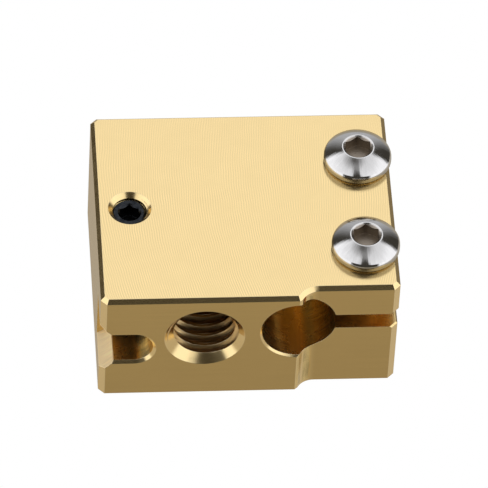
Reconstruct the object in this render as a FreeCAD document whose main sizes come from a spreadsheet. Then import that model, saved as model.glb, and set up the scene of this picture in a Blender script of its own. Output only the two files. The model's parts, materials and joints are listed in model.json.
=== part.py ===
"""Heater block of a long-melt-zone hotend, with its two clamp screws and its sensor set screw.

The block lies on its large face with the screws upright. +X runs across the block towards the clamp side,
+Y from the nozzle end to the heat-break end and +Z up. The origin is the middle of the block's underside.
"""

import FreeCAD, Part
import math
import os
import re
import Sketcher

# Every length in millimetres, measured from the block's left, front and bottom faces.
DIMENSIONS = (
    # Block
    ("block_width", 24.0),
    ("block_depth", 20.0),
    ("block_height", 11.5),
    ("corner_chamfer", 0.5),
    ("rim_chamfer", 0.32),
    # Relief milled into the front face on the clamp side
    ("relief_start", 15.88),
    ("relief_depth", 1.0),
    ("relief_flat_start", 17.45),
    ("relief_cutter_radius", 1.5),
    ("relief_edge_break", 0.2),
    # Through bore for the nozzle and the heat break, threaded M6 x 1
    ("melt_bore_x", 8.4),
    ("melt_bore_z", 6.95),
    ("melt_thread_major", 6.0),
    ("melt_thread_minor", 4.95),
    ("melt_thread_pitch", 1.0),
    ("melt_bore_mouth", 6.45),
    ("melt_thread_start", -1.3),
    # Clamped through bore for the heater cartridge
    ("heater_x", 16.0),
    ("heater_z", 7.49),
    ("heater_bore", 6.05),
    ("heater_bore_chamfer", 0.16),
    ("clamp_slot_gap", 1.56),
    ("clamp_slot_chamfer", 0.12),
    # Blind bore for the temperature sensor, the slot its wires leave by and the scoop at the slot's exit
    ("sensor_x", 2.75),
    ("sensor_z", 5.73),
    ("sensor_bore", 3.1),
    ("sensor_bore_depth", 17.5),
    ("wire_slot_depth", 4.0),
    ("wire_slot_chamfer", 0.23),
    ("wire_scoop_x", -1.25),
    ("wire_scoop", 5.64),
    # Metric thread M3 x 0.5 of the clamp screws, and the holes it runs in
    ("screw_major", 2.9),
    ("screw_minor", 2.38),
    ("screw_pitch", 0.5),
    ("thread_overcut", 0.03),
    ("tapped_hole", 3.02),
    ("clearance_hole", 3.4),
    ("tapped_hole_mouth", 3.5),
    # Button-head clamp screws
    ("clamp_screw_x", 21.44),
    ("clamp_screw_spacing", 9.46),
    ("clamp_screw_length", 10.0),
    ("head_diameter", 5.5),
    ("head_height", 1.65),
    ("head_rim", 0.53),
    ("head_round", 0.44),
    ("head_round_turn", 47.0),
    ("head_seat_round", 0.31),
    ("head_flat", 2.62),
    ("head_dome_radius", 3.83),
    ("clamp_socket", 2.0),
    ("clamp_socket_mouth", 2.46),
    ("clamp_socket_depth", 1.1),
    # Set screw that holds the sensor, and the threaded hole it runs in
    ("set_hole", 2.76),
    ("set_hole_root", 3.04),
    ("set_thread_rise", 1.0),
    ("set_screw_major", 2.66),
    ("set_screw_minor", 2.3),
    ("set_screw_length", 3.0),
    ("set_screw_sink", 0.5),
    ("set_screw_top", 2.54),
    ("set_screw_point", 2.0),
    ("set_socket", 1.5),
    ("set_socket_mouth", 1.9),
    ("set_socket_depth", 1.3),
    # Shared
    ("tool_overrun", 1.0),
    ("mouth_overrun", 0.1),
    ("thread_root_flat", 0.0625),
)

document = FreeCAD.newDocument("heater_block_assembly")
sheet = document.addObject("Spreadsheet::Sheet", "Dimensions")
for row, (alias, size) in enumerate(DIMENSIONS, start=1):
    sheet.set(f"A{row}", alias)
    sheet.set(f"B{row}", str(size))
    sheet.setAlias(f"B{row}", alias)
document.recompute()

ALIASES = {alias for alias, size in DIMENSIONS}

# How close two coordinates are to be the same, in millimetres.
TOUCH = 1e-4

# Where each clamp screw stands along Y, from the middle of the block.
CLAMP_SCREW_ROWS = {"front": "-clamp_screw_spacing / 2", "rear": "clamp_screw_spacing / 2"}


def bound(text):
    """The text with every alias pointed at the sheet, as an expression outside the sheet needs."""
    return re.sub(
        r"[a-z_]+",
        lambda word: f"Dimensions.{word[0]}" if word[0] in ALIASES else word[0],
        text,
    )


def number(text):
    """What an expression over the sheet's aliases comes to now."""
    value = sheet.evalExpression(text)
    return float(getattr(value, "Value", value))


def bind(thing, **expressions):
    """Bind properties of a feature to expressions over the sheet's aliases."""
    for name, text in expressions.items():
        thing.setExpression(name, bound(text))


def new_body(name, place):
    """A body whose placement follows three expressions."""
    body = document.addObject("PartDesign::Body", name)
    body.Label = name
    for axis, text in zip("xyz", place):
        body.setExpression(f"Placement.Base.{axis}", bound(text))
    return body


def new_sketch(body, name, plane, offset=("0", "0", "0")):
    """A sketch on one of the body's origin planes, moved by expressions along the plane's own axes."""
    sketch = body.newObject("Sketcher::SketchObject", name)
    support = next(item for item in body.Origin.OriginFeatures if item.Role == plane)
    sketch.AttachmentSupport = [(support, "")]
    sketch.MapMode = "FlatFace"
    for axis, text in zip("xyz", offset):
        if text != "0":
            sketch.setExpression(f".AttachmentOffset.Base.{axis}", bound(text))
    return sketch


def constrain(sketch, kind, *where, text):
    """A driving constraint whose value follows an expression."""
    index = sketch.addConstraint(Sketcher.Constraint(kind, *where, number(text)))
    sketch.setExpression(f"Constraints[{index}]", bound(text))


def draw_circle(sketch, x, y, diameter):
    """A circle given by expressions."""
    centre = FreeCAD.Vector(number(x), number(y), 0)
    index = sketch.addGeometry(
        Part.Circle(centre, FreeCAD.Vector(0, 0, 1), number(diameter) / 2)
    )
    constrain(sketch, "DistanceX", -1, 1, index, 3, text=x)
    constrain(sketch, "DistanceY", -1, 1, index, 3, text=y)
    constrain(sketch, "Diameter", index, text=diameter)


def arc_between(start, end, radius, bulge):
    """The short arc between two points, bulging left (1) or right (-1) of the way from start to end."""
    along = end - start
    left = FreeCAD.Vector(-along.y, along.x, 0).normalize()
    inset = math.sqrt(radius**2 - (along.Length / 2) ** 2)
    centre = (start + end) / 2 - left * bulge * inset
    circle = Part.Circle(centre, FreeCAD.Vector(0, 0, 1), radius)
    first, last = (start, end) if bulge < 0 else (end, start)
    return Part.ArcOfCircle(circle, circle.parameter(first), circle.parameter(last))


def draw_outline(sketch, corners, arcs=None):
    """A closed outline through corners given by expressions.

    arcs maps the number of a side to its radius and the way it bulges.
    """
    points = [FreeCAD.Vector(number(x), number(y), 0) for x, y in corners]
    ends = []
    for side, (start, end) in enumerate(zip(points, points[1:] + points[:1])):
        if arcs and side in arcs:
            radius, bulge = arcs[side]
            sketch.addGeometry(arc_between(start, end, number(radius), bulge))
            ends.append((1, 2) if bulge < 0 else (2, 1))
            constrain(sketch, "Radius", side, text=radius)
        else:
            sketch.addGeometry(Part.LineSegment(start, end))
            ends.append((1, 2))
    for side, (x, y) in enumerate(corners):
        after = (side + 1) % len(corners)
        sketch.addConstraint(
            Sketcher.Constraint("Coincident", side, ends[side][1], after, ends[after][0])
        )
        constrain(sketch, "DistanceX", -1, 1, side, ends[side][0], text=x)
        constrain(sketch, "DistanceY", -1, 1, side, ends[side][0], text=y)


def feature(body, kind, name, sketch, **settings):
    """A sketch-based feature with its plain settings."""
    item = body.newObject(f"PartDesign::{kind}", name)
    item.Profile = sketch
    for setting, value in settings.items():
        setattr(item, setting, value)
    sketch.Visibility = False
    return item


def cut_through(body, name, sketch):
    """A pocket right through the body, both ways from its sketch."""
    pocket = feature(body, "Pocket", name, sketch, Type="ThroughAll", Midplane=True)
    document.recompute()
    return pocket


def cut_to(body, name, sketch, depth, reverse=False):
    """A pocket of a bound depth, away from its sketch's normal unless reversed."""
    pocket = feature(body, "Pocket", name, sketch, Type="Length", Reversed=reverse)
    bind(pocket, Length=depth)
    document.recompute()
    return pocket


def turned(body, kind, name, sketch):
    """A full turn of a profile about its sketch's vertical axis."""
    item = feature(body, kind, name, sketch, Angle=360.0)
    item.ReferenceAxis = (sketch, ["V_Axis"])
    document.recompute()
    return item


def chamfer_edges(body, name, size, chosen):
    """A chamfer on the edges of the body's tip that a test picks."""
    base = body.Tip
    edges = [
        f"Edge{place}"
        for place, edge in enumerate(base.Shape.Edges, start=1)
        if chosen(edge)
    ]
    chamfer = body.newObject("PartDesign::Chamfer", name)
    chamfer.Base = (base, edges)
    bind(chamfer, Size=size)
    document.recompute()
    return chamfer


def lies_on(edge, axis, value):
    """Whether a whole edge lies in the plane where a coordinate has the value."""
    box = edge.BoundBox
    spans = {"x": (box.XMin, box.XMax), "y": (box.YMin, box.YMax), "z": (box.ZMin, box.ZMax)}
    return all(abs(end - value) < TOUCH for end in spans[axis])


def cut_thread(body, name, plane, offset, root, crest, pitch, start, run):
    """A helical V groove about the vertical axis of a moved sketch, from its root radius past its crest."""
    sketch = new_sketch(body, f"{name}_profile", plane, offset)
    flat = f"({pitch}) * thread_root_flat"
    flank = f"({flat} + abs(({crest}) - ({root})) * tan(30))"
    draw_outline(
        sketch,
        (
            (root, f"{start} - {flat}"),
            (crest, f"{start} - {flank}"),
            (crest, f"{start} + {flank}"),
            (root, f"{start} + {flat}"),
        ),
    )
    document.recompute()
    helix = feature(body, "SubtractiveHelix", name, sketch, Mode="pitch-height-angle")
    helix.ReferenceAxis = (sketch, ["V_Axis"])
    bind(helix, Pitch=pitch, Height=run)
    document.recompute()
    return helix


def cut_mouth(body, name, plane, offset, hole, mouth, outward):
    """A 90 degree countersink at a sketch's origin; outward (1 or -1) is the way out of the material."""
    sketch = new_sketch(body, f"{name}_profile", plane, offset)
    sink = f"{-outward} * (({mouth}) - ({hole})) / 2"
    proud = f"{outward} * mouth_overrun"
    draw_outline(
        sketch,
        (
            ("0", sink),
            (f"({hole}) / 2", sink),
            (f"({mouth}) / 2 + mouth_overrun", proud),
            ("0", proud),
        ),
    )
    document.recompute()
    return turned(body, "Groove", name, sketch)


def make_heater_block():
    """The brass block with its bores, slots and screw holes."""
    body = new_body("heater_block", ("-block_width / 2", "-block_depth / 2", "0"))

    outline = new_sketch(body, "block_outline", "XY_Plane")
    draw_outline(
        outline,
        (
            ("0", "0"),
            ("block_width", "0"),
            ("block_width", "block_depth"),
            ("0", "block_depth"),
        ),
    )
    block = feature(body, "Pad", "block", outline)
    bind(block, Length="block_height")
    document.recompute()
    chamfer_edges(
        body,
        "corner_chamfers",
        "corner_chamfer",
        lambda edge: edge.BoundBox.ZLength > number("block_height") / 2,
    )

    bore = new_sketch(body, "heater_bore_outline", "XZ_Plane")
    draw_circle(bore, "heater_x", "heater_z", "heater_bore")
    cut_through(body, "heater_bore", bore)
    chamfer_edges(
        body,
        "heater_bore_chamfers",
        "heater_bore_chamfer",
        lambda edge: edge.Curve.TypeId == "Part::GeomCircle",
    )

    relief = new_sketch(body, "relief_outline", "XY_Plane")
    break_x = (
        "relief_flat_start - sqrt(relief_cutter_radius ^ 2"
        " - (relief_cutter_radius - relief_depth + relief_edge_break) ^ 2)"
    )
    draw_outline(
        relief,
        (
            ("relief_start", "-tool_overrun"),
            ("block_width + tool_overrun", "-tool_overrun"),
            ("block_width + tool_overrun", "relief_depth"),
            ("relief_flat_start", "relief_depth"),
            (break_x, "relief_edge_break"),
            ("relief_start", "0"),
        ),
        arcs={3: ("relief_cutter_radius", -1)},
    )
    cut_through(body, "relief", relief)
    corner = new_sketch(body, "relief_corner_outline", "XY_Plane")
    draw_outline(
        corner,
        (
            ("block_width - corner_chamfer", "relief_depth"),
            ("block_width + tool_overrun", "relief_depth"),
            ("block_width + tool_overrun", "relief_depth + corner_chamfer + tool_overrun"),
        ),
    )
    cut_through(body, "relief_corner", corner)
    chamfer_edges(
        body,
        "rim_chamfers",
        "rim_chamfer",
        lambda edge: lies_on(edge, "z", 0) or lies_on(edge, "z", number("block_height")),
    )

    melt_bore = new_sketch(body, "melt_bore_outline", "XZ_Plane")
    draw_circle(melt_bore, "melt_bore_x", "melt_bore_z", "melt_thread_minor")
    cut_through(body, "melt_bore", melt_bore)
    for name, end, outward in (("nozzle_mouth", "0", -1), ("heat_break_mouth", "block_depth", 1)):
        cut_mouth(
            body,
            name,
            "XY_Plane",
            ("melt_bore_x", end, "melt_bore_z"),
            "melt_thread_minor",
            "melt_bore_mouth",
            outward,
        )
    cut_thread(
        body,
        "melt_thread",
        "XY_Plane",
        ("melt_bore_x", "0", "melt_bore_z"),
        "melt_thread_major / 2",
        "melt_thread_minor / 2 - thread_overcut",
        "melt_thread_pitch",
        "melt_thread_start",
        "block_depth - 2 * melt_thread_start",
    )

    wire_slot = new_sketch(body, "wire_slot_outline", "XZ_Plane")
    draw_outline(
        wire_slot,
        (
            ("-tool_overrun", "sensor_z - sensor_bore / 2"),
            ("sensor_x", "sensor_z - sensor_bore / 2"),
            ("sensor_x", "sensor_z + sensor_bore / 2"),
            ("-tool_overrun", "sensor_z + sensor_bore / 2"),
        ),
    )
    cut_to(body, "wire_slot", wire_slot, "wire_slot_depth")
    sensor_bore = new_sketch(body, "sensor_bore_outline", "XZ_Plane")
    draw_circle(sensor_bore, "sensor_x", "sensor_z", "sensor_bore")
    cut_to(body, "sensor_bore", sensor_bore, "sensor_bore_depth")
    chamfer_edges(
        body,
        "wire_slot_chamfers",
        "wire_slot_chamfer",
        is_slot_mouth,
    )
    scoop = new_sketch(body, "wire_scoop_outline", "XZ_Plane")
    draw_circle(scoop, "wire_scoop_x", "sensor_z", "wire_scoop")
    cut_to(body, "wire_scoop", scoop, "wire_slot_depth")

    clamp_slot = new_sketch(body, "clamp_slot_outline", "XZ_Plane")
    draw_outline(
        clamp_slot,
        (
            ("heater_x", "heater_z - clamp_slot_gap / 2"),
            ("block_width + tool_overrun", "heater_z - clamp_slot_gap / 2"),
            ("block_width + tool_overrun", "heater_z + clamp_slot_gap / 2"),
            ("heater_x", "heater_z + clamp_slot_gap / 2"),
        ),
    )
    cut_through(body, "clamp_slot", clamp_slot)
    chamfer_edges(
        body,
        "clamp_slot_chamfers",
        "clamp_slot_chamfer",
        is_clamp_slot_exit,
    )

    for name, plane_z, diameter, depth, reverse in (
        ("clamp_clearance", "block_height", "clearance_hole", "block_height - heater_z", False),
        ("clamp_tapping", "0", "tapped_hole", "heater_z", True),
    ):
        holes = new_sketch(body, f"{name}_outline", "XY_Plane", ("0", "0", plane_z))
        for screw_y in CLAMP_SCREW_ROWS.values():
            draw_circle(holes, "clamp_screw_x", f"block_depth / 2 + {screw_y}", diameter)
        cut_to(body, name, holes, depth, reverse)
    for place, screw_y in CLAMP_SCREW_ROWS.items():
        cut_mouth(
            body,
            f"{place}_tapping_mouth",
            "XZ_Plane",
            ("clamp_screw_x", "0", f"-(block_depth / 2 + {screw_y})"),
            "tapped_hole",
            "tapped_hole_mouth",
            -1,
        )

    set_hole = new_sketch(body, "set_screw_hole_outline", "XY_Plane", ("0", "0", "block_height"))
    draw_circle(set_hole, "sensor_x", "block_depth / 2", "set_hole")
    cut_to(body, "set_screw_hole", set_hole, "block_height - sensor_z")
    cut_mouth(
        body,
        "set_screw_mouth",
        "XZ_Plane",
        ("sensor_x", "block_height", "-block_depth / 2"),
        "set_hole",
        "tapped_hole_mouth",
        1,
    )
    cut_thread(
        body,
        "set_screw_thread",
        "XZ_Plane",
        ("sensor_x", "sensor_z", "-block_depth / 2"),
        "set_hole_root / 2",
        "set_hole / 2 - thread_overcut",
        "screw_pitch",
        "set_thread_rise",
        "block_height - sensor_z - set_thread_rise + screw_pitch",
    )
    return body


def is_slot_mouth(edge):
    """Whether an edge belongs to the outline of the wire slot and its bore on the front face."""
    box = edge.BoundBox
    right_end = number("sensor_x + sensor_bore / 2") + TOUCH
    within = abs(box.Center.z - number("sensor_z")) < number("sensor_bore / 2") + TOUCH
    return lies_on(edge, "y", 0) and within and box.XMax < right_end


def is_clamp_slot_exit(edge):
    """Whether an edge is where the clamp slot leaves by the block's right face or its corner chamfers."""
    on_slot = any(
        lies_on(edge, "z", number(f"heater_z {side} clamp_slot_gap / 2")) for side in "+-"
    )
    return on_slot and edge.BoundBox.XMin > number("block_width - corner_chamfer") - TOUCH


def cut_socket(body, height, across_flats, depth, mouth):
    """A hexagon socket with a coned mouth in the top of a screw."""
    sketch = new_sketch(body, "socket_outline", "XY_Plane", ("0", "0", height))
    corner = f"{across_flats} / 2 / cos(30)"
    angles = range(30, 390, 60)
    draw_outline(
        sketch,
        [(f"{corner} * cos({angle})", f"{corner} * sin({angle})") for angle in angles],
    )
    cut_to(body, "socket", sketch, depth)
    cut_mouth(body, "socket_mouth", "XZ_Plane", ("0", height, "0"), across_flats, mouth, 1)


def make_clamp_screw(name, screw_y):
    """A button-head screw, drawn with its seat at the body's origin."""
    body = new_body(name, ("clamp_screw_x - block_width / 2", screw_y, "block_height"))
    profile = new_sketch(body, "screw_profile", "XZ_Plane")
    draw_outline(
        profile,
        (
            ("0", "-clamp_screw_length"),
            ("screw_minor / 2", "-clamp_screw_length"),
            ("screw_major / 2", "-clamp_screw_length + (screw_major - screw_minor) / 2"),
            ("screw_major / 2", "0"),
            ("head_diameter / 2 - head_seat_round", "0"),
            ("head_diameter / 2", "head_seat_round"),
            ("head_diameter / 2", "head_rim"),
            (
                "head_diameter / 2 - head_round * (1 - cos(head_round_turn))",
                "head_rim + head_round * sin(head_round_turn)",
            ),
            ("head_flat / 2", "head_height"),
            ("0", "head_height"),
        ),
        arcs={
            4: ("head_seat_round", -1),
            6: ("head_round", -1),
            7: ("head_dome_radius", -1),
        },
    )
    turned(body, "Revolution", "screw", profile)
    cut_socket(body, "head_height", "clamp_socket", "clamp_socket_depth", "clamp_socket_mouth")
    cut_thread(
        body,
        "thread",
        "XZ_Plane",
        ("0", "0", "0"),
        "screw_minor / 2",
        "screw_major / 2 + thread_overcut",
        "screw_pitch",
        "-(clamp_screw_length + screw_pitch)",
        "clamp_screw_length",
    )
    return body


def make_set_screw():
    """The socket set screw over the sensor, drawn with its top at the body's origin."""
    body = new_body(
        "sensor_set_screw",
        ("sensor_x - block_width / 2", "0", "block_height - set_screw_sink"),
    )
    profile = new_sketch(body, "screw_profile", "XZ_Plane")
    draw_outline(
        profile,
        (
            ("0", "-set_screw_length"),
            ("set_screw_point / 2", "-set_screw_length"),
            ("set_screw_major / 2", "-set_screw_length + (set_screw_major - set_screw_point) / 2"),
            ("set_screw_major / 2", "-(set_screw_major - set_screw_top) / 2"),
            ("set_screw_top / 2", "0"),
            ("0", "0"),
        ),
    )
    turned(body, "Revolution", "screw", profile)
    cut_socket(body, "0", "set_socket", "set_socket_depth", "set_socket_mouth")
    cut_thread(
        body,
        "thread",
        "XZ_Plane",
        ("0", "0", "0"),
        "set_screw_minor / 2",
        "set_screw_major / 2 + thread_overcut",
        "screw_pitch",
        "-(set_screw_length + screw_pitch)",
        "set_screw_length + 2 * screw_pitch",
    )
    return body


bodies = [make_heater_block(), make_set_screw()]
for place, screw_y in CLAMP_SCREW_ROWS.items():
    bodies.append(make_clamp_screw(f"{place}_clamp_screw", screw_y))
document.recompute()

for item in document.Objects:
    if {"Invalid", "Error"} & set(item.State):
        raise RuntimeError(f"{item.Name} is {item.State}")
os.makedirs("parts", exist_ok=True)
for body in bodies:
    if body.Shape.isNull() or not body.Shape.isValid():
        raise RuntimeError(f"{body.Label} has no valid shape")
    body.Shape.exportStep(f"parts/{body.Label}.step")
    print(body.Label, round(body.Shape.Volume, 2), "mm3")
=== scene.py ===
"""Looks of the brass heater block: machined brass, polished stainless screws and a black set screw.

Lengths in the materials are in millimetres of the frame: X to the right, Y to the back and Z up.
"""

import json
import math

import bpy
from mathutils import Matrix, Vector


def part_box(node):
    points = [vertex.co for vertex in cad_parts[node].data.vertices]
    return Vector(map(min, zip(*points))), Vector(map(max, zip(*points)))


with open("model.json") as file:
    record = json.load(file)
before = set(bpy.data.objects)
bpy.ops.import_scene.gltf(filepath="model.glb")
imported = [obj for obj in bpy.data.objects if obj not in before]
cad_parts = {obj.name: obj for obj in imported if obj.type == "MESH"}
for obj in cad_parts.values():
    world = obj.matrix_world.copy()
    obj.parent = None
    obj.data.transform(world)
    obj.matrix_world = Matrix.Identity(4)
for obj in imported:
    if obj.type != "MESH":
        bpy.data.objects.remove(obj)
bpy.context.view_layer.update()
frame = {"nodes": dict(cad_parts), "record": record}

MM = 0.001

# The camera: a long lens looking down at the front, a little from the left and a little tilted.
VIEW_YAW = math.radians(-5.88)
VIEW_ELEVATION = math.radians(48.54)
VIEW_ROLL = math.radians(3.31)
VIEW_DISTANCE = 532.6 * MM
VIEW_LENS = 484.2
VIEW_AIM_RIGHT = 0.18 * MM
VIEW_AIM_UP = 0.73 * MM

# Milling of the large faces: arcs that a wide cutter leaves as it crosses along X, fainter at the back.
CUTTER_RADIUS = 55.0
CUTTER_PATH_Y = 3.0
CUTTER_FEED = 0.19
CUTTER_WOBBLE = 0.35
CUTTER_FADE_RUN = 9.0
CUTTER_FADED = 0.5

# Where the inside of the block begins, under its top and bottom faces.
SKIN = 0.6

# The end walls of the blind holes stand between these depths behind the front and before the back; there the
# brass is painted darker as painted shade.
BURIED_BEHIND_FRONT = 1.3
BURIED_BEFORE_BACK = 0.3

# The melt thread reaches this far from its axis, countersinks left out.
THREAD_REACH = 3.12

# The round scoop where the wire slot leaves the block: its axis stands outside the left face.
SCOOP_AXIS_OUT = 1.25
SCOOP_RADIUS = 2.82
SCOOP_DEPTH = 4.0

# The metals' colours.
BRASS = (0.75, 0.555, 0.25)
# Painted shade and bounce light: inside the slots and holes the brass is painted deeper and warmer.
SHADED_INSIDE_BRASS = (0.80, 0.53, 0.175)
# Painted shade: the curved bore walls are painted a darker, duller brass.
SHADED_BORE_BRASS = (0.66, 0.50, 0.21)
# Painted shade: the end walls deep in the blind holes are painted a dark brass.
SHADED_HOLE_END_BRASS = (0.55, 0.40, 0.17)
# Painted shade: the melt thread is painted a darker, warmer brass.
SHADED_THREAD_BRASS = (0.68, 0.47, 0.21)
# Painted light: the scoop is painted a paler, brighter brass than the outer faces.
LIT_SCOOP_BRASS = (1.0, 0.77, 0.42)
# Partly rubbed wear, partly a painted highlight: the rounded edges are painted a paler, whiter brass.
WORN_AND_HIGHLIT_BRASS = (0.93, 0.84, 0.60)
STAINLESS = (0.61, 0.58, 0.52)
# Painted shade with a painted reflection of the brass: the rim low on each head is painted darker and warmer.
SHADED_RIM_STAINLESS = (0.40, 0.37, 0.31)
# Painted shade: the socket is painted a dark brownish steel.
SHADED_SOCKET_STAINLESS = (0.29, 0.24, 0.18)
BLACK_OXIDE = (0.012, 0.013, 0.014)
THIN_OXIDE = (0.036, 0.038, 0.038)
WORN_OXIDE = (0.10, 0.10, 0.105)

# How rough the metals are.
BRASS_ROUGHNESS = 0.20
INSIDE_ROUGHNESS = 0.27
CHAMFER_ROUGHNESS = 0.17
THREAD_ROUGHNESS = 0.26
SCOOP_ROUGHNESS = 0.55
RIM_ROUGHNESS = 0.26
SOCKET_ROUGHNESS = 0.4

# How deep the tool marks and the grain are, and how far the edges are rounded.
BRASS_RELIEF = 0.0006 * MM
STEEL_RELIEF = 0.0009 * MM
OXIDE_RELIEF = 0.004 * MM
BRASS_EDGE = 0.035 * MM
STEEL_EDGE = 0.03 * MM

# The clamp screws' sockets: radius and depth, with a soft step at the mouth.
SOCKET_RADIUS = 1.24
SOCKET_FLOOR = 1.9

# The light tent's colours: its walls, the room's glow, and the table before and beside the block.
TENT = (1.0, 1.05, 1.2)
ROOM = (0.064, 0.060, 0.054)
TABLE_BEFORE = (0.41, 0.365, 0.285)
TABLE_BESIDE = (0.66, 0.63, 0.60)

nodes = frame["nodes"]
mounts = {mount["name"]: mount for mount in frame["record"]["mounts"]}
block_low, block_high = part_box("heater_block")
block_centre = (block_low + block_high) / 2
left, front, bottom = (side / MM for side in block_low)
right, back, top = (side / MM for side in block_high)


def make_camera():
    """The photograph's view of the block."""
    behind = Vector(
        (
            math.sin(VIEW_YAW) * math.cos(VIEW_ELEVATION),
            -math.cos(VIEW_YAW) * math.cos(VIEW_ELEVATION),
            math.sin(VIEW_ELEVATION),
        )
    )
    level = Vector((math.cos(VIEW_YAW), math.sin(VIEW_YAW), 0))
    upright = behind.cross(level)
    across = level * math.cos(VIEW_ROLL) + upright * math.sin(VIEW_ROLL)
    up = upright * math.cos(VIEW_ROLL) - level * math.sin(VIEW_ROLL)
    aim = block_centre + across * VIEW_AIM_RIGHT + up * VIEW_AIM_UP
    data = bpy.data.cameras.new("camera")
    data.lens = VIEW_LENS
    data.clip_start = 0.05
    data.clip_end = 10
    camera = bpy.data.objects.new("camera", data)
    bpy.context.scene.collection.objects.link(camera)
    turn = Matrix((across, up, behind)).transposed().to_4x4()
    camera.matrix_world = Matrix.Translation(aim + behind * VIEW_DISTANCE) @ turn
    bpy.context.scene.camera = camera


class Graph:
    """A short way to build a node tree."""

    def __init__(self, tree):
        self.tree = tree
        tree.nodes.clear()

    def add(self, kind, inputs=None, **settings):
        """A node with its settings, and its inputs set or linked."""
        node = self.tree.nodes.new(kind)
        for name, value in settings.items():
            setattr(node, name, value)
        for name, value in (inputs or {}).items():
            if isinstance(value, bpy.types.NodeSocket):
                self.tree.links.new(value, node.inputs[name])
            else:
                node.inputs[name].default_value = value
        return node

    def maths(self, operation, *values):
        """The result of a Math node."""
        node = self.add("ShaderNodeMath", dict(enumerate(values)), operation=operation)
        return node.outputs[0]

    def product(self, *values):
        """Several values multiplied together."""
        result = values[0]
        for value in values[1:]:
            result = self.maths("MULTIPLY", result, value)
        return result

    def largest(self, *values):
        """The largest of several values."""
        result = values[0]
        for value in values[1:]:
            result = self.maths("MAXIMUM", result, value)
        return result

    def rest(self, share):
        """What a share leaves of 1."""
        return self.maths("SUBTRACT", 1.0, share)

    def place(self):
        """The point on the object, in millimetres."""
        point = self.add("ShaderNodeTexCoord").outputs["Object"]
        return self.stretch(point, (1 / MM, 1 / MM, 1 / MM))

    def split(self, vector):
        """The three components of a vector."""
        return self.add("ShaderNodeSeparateXYZ", {"Vector": vector}).outputs[:]

    def stretch(self, vector, scale):
        """A vector with each component scaled on its own."""
        node = self.add("ShaderNodeVectorMath", {0: vector, 1: scale}, operation="MULTIPLY")
        return node.outputs[0]

    def dot(self, first, second):
        """The dot product of two vectors."""
        node = self.add("ShaderNodeVectorMath", {0: first, 1: second}, operation="DOT_PRODUCT")
        return node.outputs["Value"]

    def distance(self, first, second):
        """The length of the vector with these two components."""
        squares = (self.maths("MULTIPLY", side, side) for side in (first, second))
        return self.maths("SQRT", self.maths("ADD", *squares))

    def away(self, place, x, z):
        """The distance from an axis along Y."""
        parts = self.split(place)
        return self.distance(self.maths("SUBTRACT", parts[0], x), self.maths("SUBTRACT", parts[2], z))

    def ramp(self, value, low, high, to_low=0.0, to_high=1.0, smooth=False):
        """A value mapped from one range to another, kept inside it."""
        ends = {"From Min": low, "From Max": high, "To Min": to_low, "To Max": to_high}
        node = self.add(
            "ShaderNodeMapRange",
            {"Value": value, **ends},
            interpolation_type="SMOOTHSTEP" if smooth else "LINEAR",
        )
        return node.outputs["Result"]

    def band(self, value, low, high, edge):
        """1 inside a range and 0 outside it, with soft edges."""
        rise = self.ramp(value, low - edge, low + edge, smooth=True)
        fall = self.ramp(value, high - edge, high + edge, 1.0, 0.0, smooth=True)
        return self.product(rise, fall)

    def noise(self, vector, scale, detail=2.0):
        """Noise from 0 to 1."""
        node = self.add(
            "ShaderNodeTexNoise", {"Vector": vector, "Scale": scale, "Detail": detail}
        )
        return node.outputs["Fac"]

    def streaks(self, vector, scale, spread=0.2):
        """Noise from -1 to 1, drawn out where a component is scaled down."""
        noise = self.noise(self.stretch(vector, scale), 1.0, 4.0)
        return self.ramp(noise, 0.5 - spread, 0.5 + spread, -1.0, 1.0)

    def blend(self, share, first, second):
        """A mix of two numbers."""
        node = self.add(
            "ShaderNodeMix", {0: share, 2: first, 3: second}, data_type="FLOAT"
        )
        return node.outputs[0]

    def grey(self, value):
        """A colour with the same value in each channel."""
        return self.add("ShaderNodeCombineColor", {0: value, 1: value, 2: value}).outputs[0]

    def mix(self, share, first, second, how="MIX"):
        """A mix of two colours."""
        node = self.add("ShaderNodeMix", {0: share}, data_type="RGBA", blend_type=how)
        for socket, value in ((node.inputs[6], first), (node.inputs[7], second)):
            if isinstance(value, bpy.types.NodeSocket):
                self.tree.links.new(value, socket)
            else:
                socket.default_value = (*value, 1)
        return node.outputs[2]


def new_material(name):
    """An empty material and its graph."""
    material = bpy.data.materials.new(name)
    material.use_nodes = True
    return material, Graph(material.node_tree)


def surface(graph, colour, roughness, height, relief, edge):
    """A metal surface with rounded edges and fine relief: a height from -1 to 1 stands for so many metres."""
    rounded = graph.add("ShaderNodeBevel", {"Radius": edge}, samples=6).outputs[0]
    bump = graph.add(
        "ShaderNodeBump",
        {"Strength": 1.0, "Distance": relief, "Height": height, "Normal": rounded},
    )
    shader = graph.add(
        "ShaderNodeBsdfPrincipled",
        {
            "Base Color": colour,
            "Metallic": 1.0,
            "Roughness": roughness,
            "Normal": bump.outputs[0],
        },
    )
    graph.add("ShaderNodeOutputMaterial", {"Surface": shader.outputs[0]})


def rounded_edge_share(graph, edge):
    """1 on the rounded edges and 0 on the faces."""
    rounded = graph.add("ShaderNodeBevel", {"Radius": edge}, samples=6).outputs[0]
    flat = graph.add("ShaderNodeNewGeometry").outputs["Normal"]
    return graph.ramp(graph.dot(rounded, flat), 0.995, 0.93)


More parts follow.
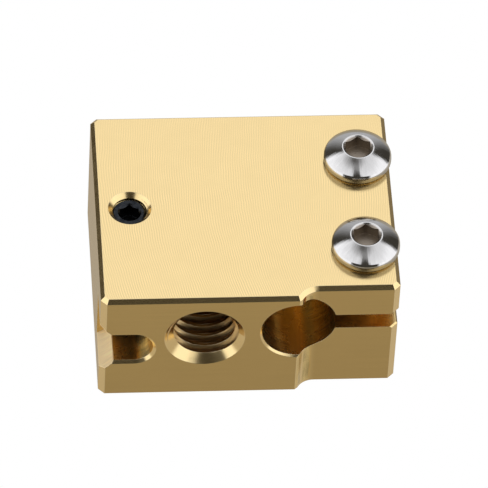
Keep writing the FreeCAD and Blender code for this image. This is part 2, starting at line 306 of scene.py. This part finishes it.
def brass_regions(graph, place):
    """What kind of surface a point of the block is on, each kind as a share from 0 to 1."""
    x, y, z = graph.split(place)
    normal = graph.split(graph.add("ShaderNodeTexCoord").outputs["Normal"])
    facing = [graph.maths("ABSOLUTE", part) for part in normal]
    side, end, level = (graph.ramp(part, 0.95, 0.99) for part in facing)
    chamfer = graph.band(facing[1], 0.65, 0.77, 0.02)
    inside = graph.product(
        graph.band(z, SKIN, top - SKIN, 0.05),
        graph.ramp(y, front + 0.02, front + 0.1),
        graph.ramp(graph.maths("ABSOLUTE", x), right - 0.05, right - 0.5),
        graph.rest(end),
        graph.rest(chamfer),
    )
    bore = graph.product(graph.rest(graph.largest(side, end, level)), inside)
    buried = graph.product(
        end, graph.band(y, front + BURIED_BEHIND_FRONT, back - BURIED_BEFORE_BACK, 0.1)
    )
    thread_x, _, thread_z = (part / MM for part in mounts["nozzle_thread"]["pos_m"])
    from_thread = graph.away(place, thread_x, thread_z)
    thread = graph.product(graph.ramp(from_thread, THREAD_REACH + 0.05, THREAD_REACH - 0.05), inside)
    from_scoop = graph.away(place, left - SCOOP_AXIS_OUT, mounts["sensor_bore"]["pos_m"][2] / MM)
    scoop = graph.product(
        graph.band(from_scoop, SCOOP_RADIUS - 0.06, SCOOP_RADIUS + 0.06, 0.02),
        graph.band(y, front - 1, front + SCOOP_DEPTH - 0.02, 0.01),
        graph.rest(end),
    )
    return {
        "side": side,
        "end": end,
        "level": level,
        "chamfer": chamfer,
        "inside": inside,
        "bore": bore,
        "buried": buried,
        "thread": thread,
        "scoop": scoop,
    }


def cutter_arcs(graph, place, on):
    """Arcs of the wide cutter on the outer level faces, bowed the other way where it came back."""
    x, y, _ = graph.split(place)
    wobble = graph.maths("MULTIPLY", graph.noise(place, 0.35), CUTTER_WOBBLE)
    offset = graph.maths("SUBTRACT", y, CUTTER_PATH_Y)
    reach = graph.maths("SUBTRACT", CUTTER_RADIUS**2, graph.maths("MULTIPLY", offset, offset))
    bow = graph.maths("SQRT", reach)
    arcs = []
    for operation in ("ADD", "SUBTRACT"):
        phase = graph.maths("ADD", graph.maths(operation, x, bow), wobble)
        arcs.append(graph.maths("SINE", graph.maths("MULTIPLY", phase, 2 * math.pi / CUTTER_FEED)))
    patches = graph.noise(place, 0.22)
    came_back = graph.ramp(graph.maths("MULTIPLY_ADD", patches, 14.0, x), 10.0, 18.0)
    depth = graph.ramp(graph.noise(place, 0.6), 0.35, 0.65, 0.35, 1.0)
    fade = graph.ramp(y, back, back - CUTTER_FADE_RUN, CUTTER_FADED, 1.0)
    milled = graph.product(graph.blend(came_back, *arcs), depth, fade, on["level"])
    return graph.product(milled, graph.rest(on["inside"]))


def drawn_lines(graph, place, on):
    """Fine lines along the walls: along X on the ends, and along Y on the sides and in the slots."""
    along_x = graph.streaks(place, (0.12, 1.0, 5.0), 0.25)
    along_y = graph.streaks(place, (6.0, 0.15, 6.0), 0.25)
    lines = graph.maths(
        "ADD",
        graph.product(along_x, on["end"], 0.5),
        graph.product(along_y, graph.largest(on["side"], on["inside"])),
    )
    return graph.product(lines, graph.rest(on["scoop"]))


def make_brass():
    """Milled brass: cutter arcs on the outside, drawn lines in the slots, rings in the bores."""
    material, graph = new_material("milled_brass")
    place = graph.place()
    on = brass_regions(graph, place)
    milled = cutter_arcs(graph, place, on)
    marks = drawn_lines(graph, place, on)
    rings = graph.product(graph.streaks(place, (0.5, 7.0, 0.5)), on["bore"])

    ring_depth = graph.blend(on["thread"], graph.blend(on["scoop"], 3.0, 1.0), 6.0)
    height = graph.maths("ADD", milled, graph.maths("MULTIPLY_ADD", rings, ring_depth, marks))

    tone = graph.ramp(graph.noise(place, 0.3, 3.0), 0.3, 0.7, -1.0, 1.0)
    # Painted light and shade: the brass is painted lighter towards the top and darker towards the bottom.
    light = graph.ramp(graph.split(place)[2], bottom, top, 0.97, 1.03)
    ring_contrast = graph.blend(on["scoop"], 0.3, 0.12)
    for pattern, contrast in ((tone, 0.008), (milled, 0.09), (marks, 0.05), (rings, ring_contrast)):
        light = graph.maths("MULTIPLY_ADD", pattern, contrast, light)

    # Painted light and shade by region: deeper brass inside as painted shade and bounce light, darker bores,
    # hole ends and thread as painted shade, and a paler scoop as painted light.
    colour = BRASS
    for region, brass in (
        ("inside", SHADED_INSIDE_BRASS),
        ("bore", SHADED_BORE_BRASS),
        ("buried", SHADED_HOLE_END_BRASS),
        ("thread", SHADED_THREAD_BRASS),
        ("scoop", LIT_SCOOP_BRASS),
    ):
        colour = graph.mix(on[region], colour, brass)
    colour = graph.mix(1.0, colour, graph.grey(light), "MULTIPLY")
    # The rounded edges are painted paler and whiter: partly rubbed wear, partly a painted highlight.
    wear_and_highlight = graph.product(rounded_edge_share(graph, BRASS_EDGE), 0.6)
    colour = graph.mix(wear_and_highlight, colour, WORN_AND_HIGHLIT_BRASS)

    smudges = graph.ramp(graph.noise(place, 0.8, 4.0), 0.3, 0.7, -0.02, 0.02)
    plain = graph.blend(on["inside"], BRASS_ROUGHNESS, INSIDE_ROUGHNESS)
    roughness = graph.maths("ADD", plain, smudges)
    roughness = graph.blend(on["chamfer"], roughness, CHAMFER_ROUGHNESS)
    roughness = graph.blend(on["thread"], roughness, THREAD_ROUGHNESS)
    roughness = graph.blend(on["scoop"], roughness, SCOOP_ROUGHNESS)
    surface(graph, colour, roughness, height, BRASS_RELIEF, BRASS_EDGE)
    return material


def make_stainless(node):
    """Polished stainless steel, turned round one screw's axis, duller inside its socket and painted darker
    there as painted shade, and painted darker and warmer on its rim low on the head as painted shade with a
    painted reflection of the brass.
    """
    material, graph = new_material(f"polished_stainless_{node}")
    low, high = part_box(node)
    crown = high.z / MM
    place = graph.place()
    x, y, z = graph.split(place)
    across = graph.maths("SUBTRACT", x, (low.x + high.x) / 2 / MM)
    along = graph.maths("SUBTRACT", y, (low.y + high.y) / 2 / MM)
    radius = graph.distance(across, along)
    turn = graph.maths("ARCTAN2", along, across)
    polar = graph.add("ShaderNodeCombineXYZ", {0: turn, 1: radius, 2: z}).outputs[0]
    streaks = graph.streaks(polar, (16.0, 1.0, 1.0))
    in_socket = graph.product(
        graph.ramp(radius, SOCKET_RADIUS, SOCKET_RADIUS - 0.06),
        graph.ramp(z, crown, crown - 0.12),
        graph.ramp(z, crown - SOCKET_FLOOR, crown - SOCKET_FLOOR + 0.1),
    )
    on_rim = graph.product(graph.ramp(z, top + 0.7, top + 0.5), graph.ramp(z, top - 0.01, top))
    polish = graph.ramp(graph.noise(place, 2.5, 4.0), 0.3, 0.7, 0.07, 0.13)
    roughness = graph.blend(in_socket, graph.blend(on_rim, polish, RIM_ROUGHNESS), SOCKET_ROUGHNESS)
    light = graph.maths("MULTIPLY_ADD", streaks, 0.05, 1.0)
    # Painted shade with a painted reflection of the brass on the rim low on the head.
    colour = graph.mix(on_rim, STAINLESS, SHADED_RIM_STAINLESS)
    # Painted shade inside the socket.
    colour = graph.mix(in_socket, colour, SHADED_SOCKET_STAINLESS)
    colour = graph.mix(1.0, colour, graph.grey(light), "MULTIPLY")
    surface(graph, colour, roughness, streaks, STEEL_RELIEF, STEEL_EDGE)
    return material


def make_black_steel():
    """Black oxide on steel, oiled, worn a little at its edges."""
    material, graph = new_material("black_oxide_steel")
    grain = graph.noise(graph.place(), 3.0, 4.0)
    colour = graph.mix(graph.ramp(grain, 0.35, 0.7), BLACK_OXIDE, THIN_OXIDE)
    colour = graph.mix(graph.product(rounded_edge_share(graph, STEEL_EDGE), 0.5), colour, WORN_OXIDE)
    roughness = graph.ramp(grain, 0.3, 0.7, 0.14, 0.32)
    surface(graph, colour, roughness, grain, OXIDE_RELIEF, STEEL_EDGE)
    return material


def give(node, material):
    """Put one material on a CAD node."""
    for slot in nodes[node].material_slots:
        slot.material = material


def make_world():
    """A light tent with a slit for the lens, a card over the back and a dim gap in each rear corner."""
    world = bpy.data.worlds.new("studio")
    bpy.context.scene.world = world
    world.use_nodes = True
    graph = Graph(world.node_tree)
    towards = graph.add("ShaderNodeTexCoord").outputs["Generated"]
    x, y, z = graph.split(towards)
    azimuth = graph.maths("ARCTAN2", graph.maths("SUBTRACT", x, 0.07), y)
    turn = graph.maths("MULTIPLY", graph.maths("ABSOLUTE", azimuth), 180 / math.pi)

    # The cloth walls grow dimmer upwards, and a small hole stands open overhead.
    from_hole = graph.maths("ARCCOSINE", graph.dot(towards, (-0.105, 0.0, 0.994)))
    overhead = graph.ramp(from_hole, 0.03, 0.5, 0.04, 1.0)
    glow = graph.product(overhead, graph.ramp(z, 0.45, 0.95, 1.42, 0.95, smooth=True))
    wall = graph.ramp(graph.maths("MULTIPLY_ADD", x, 0.13, y), 0.29, 0.45, 1.0, 0.0, smooth=True)

    # The slit for the lens is in front and narrows upwards.
    half_slit = graph.ramp(z, 0.44, 0.80, 0.62, 0.13)
    from_slit = graph.maths("ABSOLUTE", graph.maths("ADD", x, 0.06))
    slit = graph.product(
        graph.ramp(graph.maths("SUBTRACT", from_slit, half_slit), -0.05, 0.05, 1.0, 0.0, smooth=True),
        graph.ramp(y, 0.0, -0.1, smooth=True),
        graph.ramp(z, 0.8, 0.95, 1.0, 0.5),
    )
    tent = graph.product(glow, wall, graph.rest(slit))

    # The rear panel is weak, and the card above it lights the top face.
    rear = graph.product(graph.ramp(turn, 12, 50, 0.55, 0.0, smooth=True), graph.ramp(y, 0.2, 0.4))
    card = graph.product(
        graph.band(x, -0.42, 0.56, 0.07),
        graph.ramp(z, 0.52, 0.66, smooth=True),
        graph.ramp(y, 0.1, 0.25, smooth=True),
        overhead,
        1.15,
    )
    light = graph.grey(graph.largest(tent, card, rear))
    colour = graph.mix(1.0, TENT, light, "MULTIPLY")
    colour = graph.mix(1.0, colour, ROOM, "ADD")

    sideways = graph.maths("POWER", graph.maths("SINE", graph.maths("ABSOLUTE", azimuth)), 1.3)
    table = graph.mix(sideways, TABLE_BEFORE, TABLE_BESIDE)
    colour = graph.mix(graph.ramp(z, -0.03, -0.2, smooth=True), colour, table)
    seen = graph.add("ShaderNodeLightPath").outputs["Is Camera Ray"]
    colour = graph.mix(seen, colour, (1, 1, 1))
    background = graph.add("ShaderNodeBackground", {"Color": colour})
    graph.add("ShaderNodeOutputWorld", {"Surface": background.outputs[0]})


def make_floor():
    """A pale floor just under the block, clear when it is seen from below."""
    bpy.ops.mesh.primitive_plane_add(size=4, location=(0, 0, block_low.z - 0.02 * MM))
    floor = bpy.context.object
    floor.name = "floor"
    material, graph = new_material("pale_floor")
    glow = graph.add("ShaderNodeEmission", {"Color": (1, 1, 1, 1), "Strength": 1.0})
    clear = graph.add("ShaderNodeBsdfTransparent")
    from_below = graph.add("ShaderNodeNewGeometry").outputs["Backfacing"]
    seen = graph.add("ShaderNodeMixShader", {0: from_below, 1: glow.outputs[0], 2: clear.outputs[0]})
    graph.add("ShaderNodeOutputMaterial", {"Surface": seen.outputs[0]})
    floor.data.materials.append(material)
    floor.visible_glossy = False


give("heater_block", make_brass())
for screw in ("front_clamp_screw", "rear_clamp_screw"):
    give(screw, make_stainless(screw))
give("sensor_set_screw", make_black_steel())

make_camera()
make_world()
make_floor()

scene = bpy.context.scene
scene.view_settings.view_transform = "Standard"
scene.view_settings.look = "None"
